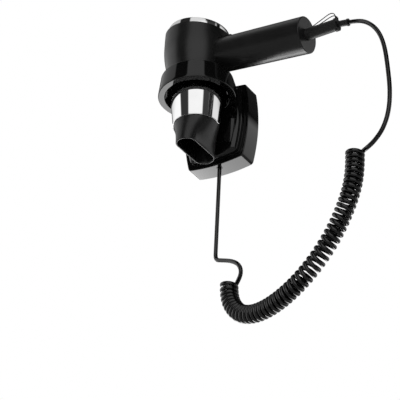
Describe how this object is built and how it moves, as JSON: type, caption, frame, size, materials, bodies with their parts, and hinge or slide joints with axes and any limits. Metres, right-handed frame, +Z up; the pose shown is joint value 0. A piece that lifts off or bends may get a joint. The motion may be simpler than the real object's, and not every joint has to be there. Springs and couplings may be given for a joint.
{
  "type": "wall-mounted hair dryer",
  "caption": "Wall holder with a ring collar that holds a black hair dryer nozzle down, bright front sleeve and rear cap, slide switch, and a curly cord from handle to holder.",
  "frame": {"origin": "centre of the holder's back plate, on its face against the wall", "axes": "+Z up, +Y into the wall, +X the way the handle points; the barrel's axis is upright, 62.1 mm in front of the wall"},
  "size_m": [0.2693, 0.1033, 0.3537],
  "materials": {
    "holder_gloss": "high gloss moulded",
    "housing_satin": "satin moulded",
    "knob_satin": "satin moulded",
    "nozzle_satin": "satin moulded",
    "chrome": "mirror plated",
    "inner_plastic": "moulded",
    "heat_plastic": "heat-proof moulded",
    "steel": "zinc plated",
    "rubber_black": "smooth",
    "cord_gloss": "glossy PVC",
    "light_plastic": "moulded",
    "fan_plastic": "moulded",
    "mica": "sheet mica",
    "heater_wire": "drawn wire",
    "magnet": "ferrite",
    "copper": "enamelled winding",
    "board": "laminate",
    "diode_black": "moulded",
    "core_insulation": "PVC"
  },
  "bodies": {
    "holder": {"holder_backplate": "inner_plastic", "holder_cover": "holder_gloss", "holder_ring": "holder_gloss", "ring_screws": "steel", "supply_grommet": "rubber_black", "terminal_block": "light_plastic", "terminal_screws": "steel", "supply_cores": "core_insulation", "cord_tail": "cord_gloss", "tail_cores": "core_insulation", "cord_clamp_post": "inner_plastic", "cord_clamp_bar": "inner_plastic", "cord_clamp_screws": "steel", "cord_grommet": "rubber_black", "cord_lower_lead": "cord_gloss", "cord_coil": "cord_gloss", "cord_upper_lead": "cord_gloss"},
    "handset": {"housing_front_half": "housing_satin", "housing_rear_half": "housing_satin", "housing_screws": "steel", "chrome_sleeve": "chrome", "front_liner": "heat_plastic", "outlet_grille": "heat_plastic", "inlet_guard": "inner_plastic", "motor_can": "steel", "motor_magnets": "magnet", "motor_end_bell": "light_plastic", "motor_mount": "heat_plastic", "mica_sleeve": "mica", "mica_cross": "mica", "heater_coils": "heater_wire", "thermostat": "steel", "thermal_fuse": "light_plastic", "slide_switch": "inner_plastic", "control_board": "board", "suppression_capacitor": "light_plastic", "rectifier_diodes": "diode_black", "handset_clamp_base": "inner_plastic", "handset_clamp_bar": "inner_plastic", "handset_clamp_screws": "steel", "cord_relief": "rubber_black", "relief_sleeve": "rubber_black", "loop_collar": "rubber_black", "cord_inner": "cord_gloss", "handset_cores": "core_insulation", "heater_leads": "core_insulation"},
    "nozzle": {"nozzle": "nozzle_satin"},
    "rear_cap": {"rear_band": "chrome", "rear_dome": "chrome", "filter_mesh": "steel"},
    "rotor": {"motor_armature": "copper", "motor_shaft": "steel", "fan_impeller": "fan_plastic"},
    "switch": {"switch_knob": "knob_satin"},
    "loop": {"hanging_loop": "rubber_black"}
  },
  "joints": [
    {"name": "handset_lift", "type": "slide", "parent": "holder", "child": "handset", "axis": [0, 0, 1], "range_m": [0, 0.1]},
    {"name": "nozzle_swivel", "type": "hinge", "parent": "handset", "child": "nozzle", "pos_m": [0, -0.0621, -0.0222], "axis": [0, 0, 1], "continuous": true},
    {"name": "rear_cap_pull", "type": "slide", "parent": "handset", "child": "rear_cap", "axis": [0.1184, 0, 0.993], "range_m": [0, 0.025]},
    {"name": "rotor_spin", "type": "hinge", "parent": "handset", "child": "rotor", "pos_m": [0, -0.0621, 0.06], "axis": [0, 0, 1], "continuous": true},
    {"name": "switch_slide", "type": "slide", "parent": "handset", "child": "switch", "axis": [-0.9938, 0, 0.1115], "range_m": [0, 0.012]},
    {"name": "loop_swing", "type": "hinge", "parent": "handset", "child": "loop", "pos_m": [0.1667, -0.0621, 0.05593], "axis": [0, 1, 0], "range_deg": [0, 100]}
  ]
}
